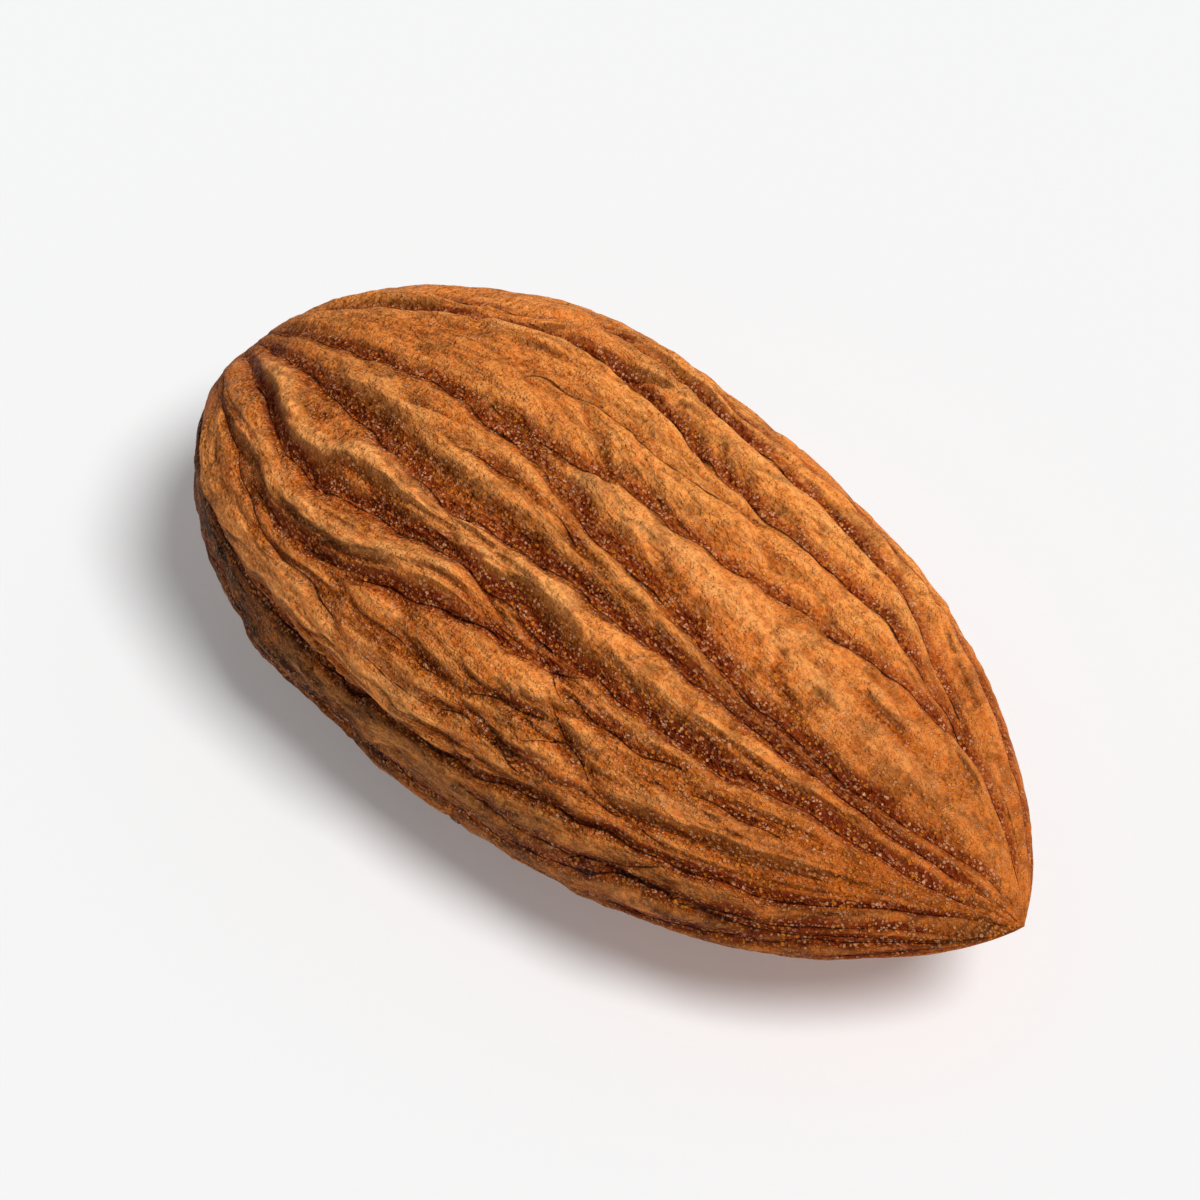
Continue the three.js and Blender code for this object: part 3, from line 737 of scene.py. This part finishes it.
# %% Noises of the skin
def skin_noises(g):
    """The noises, in features a millimetre along and across the grain or, for dust, in space."""
    grain = g.measured("grain", "Vector")
    place = g.make("ShaderNodeTexCoord", output="Object").stretched(1 / MM, 1 / MM)
    streaks = grain.noise(0.8, 2.6, detail=4.0)
    fibres = grain.noise(2.2, 6.0, roughness=0.65)
    specks = place.noise(9.0, 12.0, detail=2.0)
    return SimpleNamespace(
        blotches=grain.noise(0.25, 0.6),
        streaks=streaks,
        fibres=fibres,
        silk=grain.noise(5.0, 14.0, detail=2.0),
        mottle=grain.noise(4.0, 6.0),
        runs=grain.noise(8.0, 3.5, detail=2.0),
        specks=specks,
        ragged=(streaks - 0.5) + (fibres - 0.5) * 0.9 + (specks - 0.5) * 0.6,
        scurf=place.dots(14.0, 0.62) * (0.25 + 0.75 * fibres.ramp(0.4, 0.6)),
        grit=place.dots(11.0, 0.5),
    )


# %% [markdown]
# The relief that the mesh kept says where each colour goes. Every measure has some noise added
# before it is turned into a share from 0 to 1, so that the colour ends in a ragged edge.


# %% Where each colour goes
def skin_zones(g, noises):
    """How much each place is a crest, a slope, a floor and so on, from 0 to 1."""
    blotches, streaks, fibres = noises.blotches, noises.streaks, noises.fibres
    specks, ragged = noises.specks, noises.ragged
    far_light = g.measured("far_light")
    flank = g.measured("flank")
    tip = g.measured("tip")

    # The floor of a furrow is red-brown in specks, and its wider bed is a little red all over; both
    # are weaker on the far side, as painted light
    hollow = g.measured("floor_share") - far_light * 0.1
    floor = (hollow + ragged).ramp(0.35, 0.85) * (0.4 + 0.6 * specks.ramp(0.58, 0.42))
    bed = (hollow + ragged * 0.6).ramp(0.1, 0.75)

    # The relief is lower at the tip, so it counts for more there
    stronger = tip * 1.2 + 1.0
    steep = g.measured("steep") * stronger
    # Painted shade: dark brown on slopes that face the -Y margin, away from the light, less on the far
    # side
    slope = (steep - far_light * 0.4 + ragged * 0.5 + (noises.runs - 0.5) * 0.8).ramp(0.1, 0.7)
    stands = g.measured("stands_out") * stronger + (streaks - 0.5) * 0.08
    uneven = (blotches - 0.5) * 1.2 + ragged * 0.4
    # Crests are tan, partly the skin's own tone and partly painted highlight, with painted light on
    # the far side
    crest = (stands * 9.0 + uneven + far_light * 0.6 + 0.28).clamp()

    # Painted highlight: pale on what stands out most and along the crests of the folds
    outstanding = (stands + (fibres - 0.5) * 0.08).ramp(0.02, 0.12)
    along_fold = (g.measured("crest_share") + ragged * 0.5).ramp(0.35, 1.0)
    crest_highlight = (outstanding * 0.5 + along_fold * 0.6).clamp()
    rough = (1.0 - crest * 0.85) * (1.0 - crest_highlight * 0.8)

    # A crack is a line of uneven width, in mm, that comes and goes along its furrow
    crack_width = (streaks - 0.5) * 0.12 + (fibres - 0.5) * 0.06 + flank * 0.02
    crack_line = (abs(g.measured("crack_side")) - crack_width).ramp(0.025, 0.0)
    # Painted shade on the flank below the seam, the side turned from the light, broken up by streaks
    flank_streaks = flank * 0.8 + (streaks - 0.5) * 1.8 + (fibres - 0.5) * 1.2
    flecks = specks.ramp(0.46, 0.37) * (0.04 + 0.4 * rough) + fibres.ramp(0.42, 0.3) * 0.25
    return SimpleNamespace(
        floor=floor,
        bed=bed,
        slope=slope,
        crest=crest,
        crest_highlight=crest_highlight,
        rough=rough,
        tip=tip,
        # Painted shade in the creases of the fine wrinkles
        crease=(g.measured("wrinkle") + ragged * 0.6).ramp(0.5, 0.0),
        crack=crack_line * g.measured("crack_near").ramp(0.1, 0.45),
        shaded=flank_streaks.clamp() * flank.ramp(0.0, 0.3),
        flecks=flecks.clamp(),
    )


# %% Coats of paint
def skin_coats(noises, zones):
    """The coats in order: how much of each there is at a place, and its colour."""
    mottle, silk, rough = noises.mottle, noises.silk, zones.rough
    return [
        # Tan crests, partly the skin's own tone and partly painted highlight
        (zones.crest, TAN),
        (noises.blotches.ramp(0.35, 0.7) * 0.5, ORANGE),
        # Painted highlight on what stands out and along the folds
        (zones.crest_highlight * 0.7, PALE_AND_HIGHLIGHT),
        (mottle.ramp(0.45, 0.62) * 0.45, ORANGE),
        (silk.ramp(0.48, 0.66) * 0.32, PALE_AND_HIGHLIGHT),
        (silk.ramp(0.55, 0.3) * (0.25 + 0.25 * rough), BROWN),
        (zones.tip * 0.4, ORANGE),
        (zones.tip * 0.5, BROWN),
        # Painted shade in the creases of the fine wrinkles
        (zones.crease * 0.4, SHADE_AND_MOTTLE_BROWN),
        # Painted shade on the slopes that face away from the light
        (zones.slope * 0.66, SHADE_AND_MOTTLE_BROWN),
        # Painted shade on the flank below the seam, near-black where it is deepest
        (zones.shaded * 0.9, SHADE_AND_MOTTLE_BROWN),
        (zones.shaded * zones.shaded * 0.8, CRACK_AND_SHADE_BLACK),
        (zones.bed * 0.15, RUST),
        (zones.floor * 0.7, RUST),
        (mottle.ramp(0.48, 0.32) * (0.06 + 0.24 * rough), SHADE_AND_MOTTLE_BROWN),
        (zones.flecks, CRACK_AND_SHADE_BLACK),
        (noises.scurf * (0.2 + 0.35 * rough + 0.2 * zones.bed), SCURF),
        (noises.grit * (0.14 + 0.45 * rough), GOLD),
        (zones.crack * 0.8, CRACK_AND_SHADE_BLACK),
    ]


def skin_bumps(noises, zones):
    """The height of what is finer than the mesh, in mm."""
    along_grain = noises.streaks * 0.1 + noises.fibres * 0.14 + noises.silk * 0.05
    dust = noises.specks * (0.04 + 0.14 * zones.rough) + (noises.scurf + noises.grit) * 0.03
    return along_grain + noises.mottle * 0.08 + dust - zones.crack * 0.06


# %% The material
SKIN_ROUGHNESS = 0.6
SKIN_SHINE = 0.04


def kernel_material():
    material = bpy.data.materials.new("skin")
    material.use_nodes = True
    tree = material.node_tree
    shader = tree.nodes["Principled BSDF"]
    g = Field(tree)
    noises = skin_noises(g)
    zones = skin_zones(g, noises)
    skin_colour = BROWN
    for share, paint in skin_coats(noises, zones):
        skin_colour = share.blend(skin_colour, paint)
    tree.links.new(skin_colour.socket, shader.inputs["Base Color"])
    height = {"Height": skin_bumps(noises, zones), "Strength": 1.0, "Distance": MM}
    tree.links.new(g.make("ShaderNodeBump", height).socket, shader.inputs["Normal"])
    shader.inputs["Roughness"].default_value = SKIN_ROUGHNESS
    shader.inputs["Specular IOR Level"].default_value = SKIN_SHINE
    return material


skin_material = kernel_material()
print("skin material with", len(skin_material.node_tree.nodes), "nodes")

# %% [markdown]
# ## Fine wrinkles
# Between the furrows the skin is never smooth: fine wrinkles run along it, closer together
# than any hand would draw. Geometry Nodes press them in with noise that is long along the
# grain and short across it. They fade at the ends and on the flat spot, where the stored girth
# goes to zero.


# %% Geometry Nodes for the wrinkles
def modifier_tree(name, inputs):
    """An empty Geometry Nodes tree with those inputs, as {name: (socket type, value)}."""
    tree = bpy.data.node_groups.new(name, "GeometryNodeTree")
    tree.interface.new_socket("Geometry", in_out="INPUT", socket_type="NodeSocketGeometry")
    for label, (kind, value) in inputs.items():
        socket = tree.interface.new_socket(label, in_out="INPUT", socket_type=kind)
        socket.default_value = value
    tree.interface.new_socket("Geometry", in_out="OUTPUT", socket_type="NodeSocketGeometry")
    entry = tree.nodes.new("NodeGroupInput")
    return tree, {socket.name: Field(tree, socket) for socket in entry.outputs}


def finish_tree(geometry, material):
    """Ends a tree: real faces instead of instances, with the material on them."""
    real = geometry.make("GeometryNodeRealizeInstances", {"Geometry": geometry})
    painted = real.make("GeometryNodeSetMaterial", {"Geometry": real, "Material": material})
    exit_node = geometry.tree.nodes.new("NodeGroupOutput")
    geometry.tree.links.new(painted.socket, exit_node.inputs[0])


def grown(name, source, tree, settings):
    """The plain mesh object that a Geometry Nodes tree makes of a mesh."""
    holder = bpy.data.objects.new(name + "_source", source)
    bpy.context.scene.collection.objects.link(holder)
    modifier = holder.modifiers.new(name, "NODES")
    modifier.node_group = tree
    for item in tree.interface.items_tree:
        if item.in_out == "INPUT" and item.name in settings:
            modifier[item.identifier] = settings[item.name]
    graph = bpy.context.evaluated_depsgraph_get()
    made = bpy.data.meshes.new_from_object(holder.evaluated_get(graph), depsgraph=graph)
    made.name = name
    bpy.data.objects.remove(holder)
    piece = bpy.data.objects.new(name, made)
    bpy.context.scene.collection.objects.link(piece)
    return piece


def stored(g, name, kind="FLOAT"):
    return g.make("GeometryNodeInputNamedAttribute", {"Name": name}, data_type=kind)


def grain_noise(g, along, across, detail):
    """Noise that is longer along the grain than across it."""
    scale = g.make("ShaderNodeCombineXYZ", {0: along, 1: across, 2: across})
    grain = stored(g, "grain", "FLOAT_VECTOR")
    place = g.make("ShaderNodeVectorMath", {0: grain, 1: scale}, operation="MULTIPLY")
    return g.make("ShaderNodeTexNoise", {"Vector": place, "Scale": 1.0, "Detail": detail})


# How sharp a crease is, and how much of its depth stands out beside it
CREASE_SHARPNESS = 9.0
CREASE_SHOULDER = 0.7


def wrinkle_tree():
    number = "NodeSocketFloat"
    inputs = {"Crease Depth": (number, 0.0), "Creases Along": (number, 1.0),
        "Creases Across": (number, 1.0), "Lump Height": (number, 0.0), "Lumps Along": (number, 1.0),
        "Lumps Across": (number, 1.0), "Grain Height": (number, 0.0), "Grain Along": (number, 1.0),
        "Grain Across": (number, 1.0), "Material": ("NodeSocketMaterial", None)}
    tree, given = modifier_tree("fine wrinkles", inputs)
    g = Field(tree)
    creases = grain_noise(g, given["Creases Along"], given["Creases Across"], 3.0)
    wrinkle = (abs(creases - 0.5) * CREASE_SHARPNESS).clamp()
    lumps = grain_noise(g, given["Lumps Along"], given["Lumps Across"], 2.0)
    rough = grain_noise(g, given["Grain Along"], given["Grain Across"], 3.0)
    push = (wrinkle - CREASE_SHOULDER) * given["Crease Depth"]
    push = push + (lumps - 0.5) * given["Lump Height"] + (rough - 0.5) * given["Grain Height"]
    normal = g.make("GeometryNodeInputNormal")
    amount = push * stored(g, "girth")
    offset = g.make("ShaderNodeVectorMath", {0: normal, "Scale": amount}, operation="SCALE")
    moved = g.make("GeometryNodeSetPosition", {"Geometry": given["Geometry"], "Offset": offset})
    stored_as = {"Geometry": moved, "Name": "wrinkle", "Value": wrinkle}
    kept = g.make("GeometryNodeStoreNamedAttribute", stored_as)
    finish_tree(kept, given["Material"])
    return tree


WRINKLES = {"Crease Depth": 0.05 * MM, "Creases Along": 0.35, "Creases Across": 1.3,
    "Lump Height": 0.2 * MM, "Lumps Along": 0.45, "Lumps Across": 0.9, "Grain Height": 0.17 * MM,
    "Grain Along": 1.3, "Grain Across": 2.6, "Material": skin_material}
kernel = grown("almond_skin", mesh, wrinkle_tree(), WRINKLES)
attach(kernel, "root")
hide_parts("almond_kernel")
size = [round(side, 4) for side in kernel.dimensions]
print("kernel of", len(kernel.data.polygons), "faces, size in metres", size)

# %% [markdown]
# ## Stage, light and camera
# The kernel lies on plain white under a high main light from the tip's side, with a weaker
# one that picks out the folds and casts no shadow, and a pale sky that fills the shadows. The
# camera sees the sky brighter than it shines, so that it is as white as the floor beyond the
# floor's edge. It looks down on the kernel with a long lens from 46 degrees above the table.

# %% Floor and lights
FLOOR_SIDE = 1.2
PAPER = (0.86, 0.86, 0.86, 1)
PAPER_ROUGHNESS = 0.9
# How bright the sky shines, how bright the camera sees it, and its colour
SKY = 0.16
SKY_SEEN = 0.9
SKY_COLOUR = (0.95, 0.98, 1, 1)

half_side = FLOOR_SIDE / 2
floor_corners = [(-half_side, -half_side, 0), (half_side, -half_side, 0),
    (half_side, half_side, 0), (-half_side, half_side, 0)]
floor_mesh = bpy.data.meshes.new("floor")
floor_mesh.from_pydata(floor_corners, [], [(0, 1, 2, 3)])
floor_object = bpy.data.objects.new("floor", floor_mesh)
bpy.context.scene.collection.objects.link(floor_object)
paper = bpy.data.materials.new("paper")
paper.use_nodes = True
paper_shader = paper.node_tree.nodes["Principled BSDF"]
paper_shader.inputs["Base Color"].default_value = PAPER
paper_shader.inputs["Roughness"].default_value = PAPER_ROUGHNESS
paper_shader.inputs["Specular IOR Level"].default_value = 0.0
floor_mesh.materials.append(paper)


def sun(name, azimuth, zenith, strength, size, shadow=True):
    """A sun that shines from an azimuth measured from +X towards +Y, and a zenith angle."""
    light = bpy.data.lights.new(name, "SUN")
    light.use_shadow = shadow
    light.energy = strength
    light.angle = math.radians(size)
    lamp = bpy.data.objects.new(name, light)
    lamp.rotation_euler = (0, math.radians(zenith), math.radians(azimuth))
    bpy.context.scene.collection.objects.link(lamp)


sun("main light", azimuth=0, zenith=31, strength=2.6, size=22)
sun("back light", azimuth=75, zenith=55, strength=1.15, size=20, shadow=False)
world = bpy.data.worlds.new("sky")
world.use_nodes = True
background = world.node_tree.nodes["Background"]
background.inputs["Color"].default_value = SKY_COLOUR
seen = Field(world.node_tree).make("ShaderNodeLightPath", output="Is Camera Ray")
world.node_tree.links.new((seen * (SKY_SEEN - SKY) + SKY).socket, background.inputs["Strength"])
bpy.context.scene.world = world
bpy.context.scene.view_settings.view_transform = "Standard"
lamps = [thing for thing in bpy.context.scene.objects if thing.type == "LIGHT"]
print("floor and", len(lamps), "lights")

# %% Camera
CAMERA_AZIMUTH = math.radians(46.7)
CAMERA_ELEVATION = math.radians(46.0)
CAMERA_DISTANCE = 5 * LENGTH * MM
LENS = 164.4
NEAREST_SEEN = 0.01
TARGET = Vector((0, 0, (HALF_THICKNESS - PRESSED_IN) * MM))
# The kernel is a little off the middle of the picture, by these pixels of its width
PICTURE_WIDTH = 1200
SHIFT = (-22.3 / PICTURE_WIDTH, 29 / PICTURE_WIDTH)
back = Vector((math.sin(CAMERA_AZIMUTH) * math.cos(CAMERA_ELEVATION),
    -math.cos(CAMERA_AZIMUTH) * math.cos(CAMERA_ELEVATION), math.sin(CAMERA_ELEVATION)))
right = Vector((math.cos(CAMERA_AZIMUTH), math.sin(CAMERA_AZIMUTH), 0))
turned = Matrix((right, back.cross(right), back)).transposed()
camera_data = bpy.data.cameras.new("camera")
camera_data.lens = LENS
camera_data.shift_x, camera_data.shift_y = SHIFT
camera_data.clip_start = NEAREST_SEEN
camera = bpy.data.objects.new("camera", camera_data)
camera.matrix_world = Matrix.Translation(TARGET + back * CAMERA_DISTANCE) @ turned.to_4x4()
bpy.context.scene.collection.objects.link(camera)
bpy.context.scene.camera = camera
print("camera at", [round(v, 4) for v in camera.matrix_world.translation])
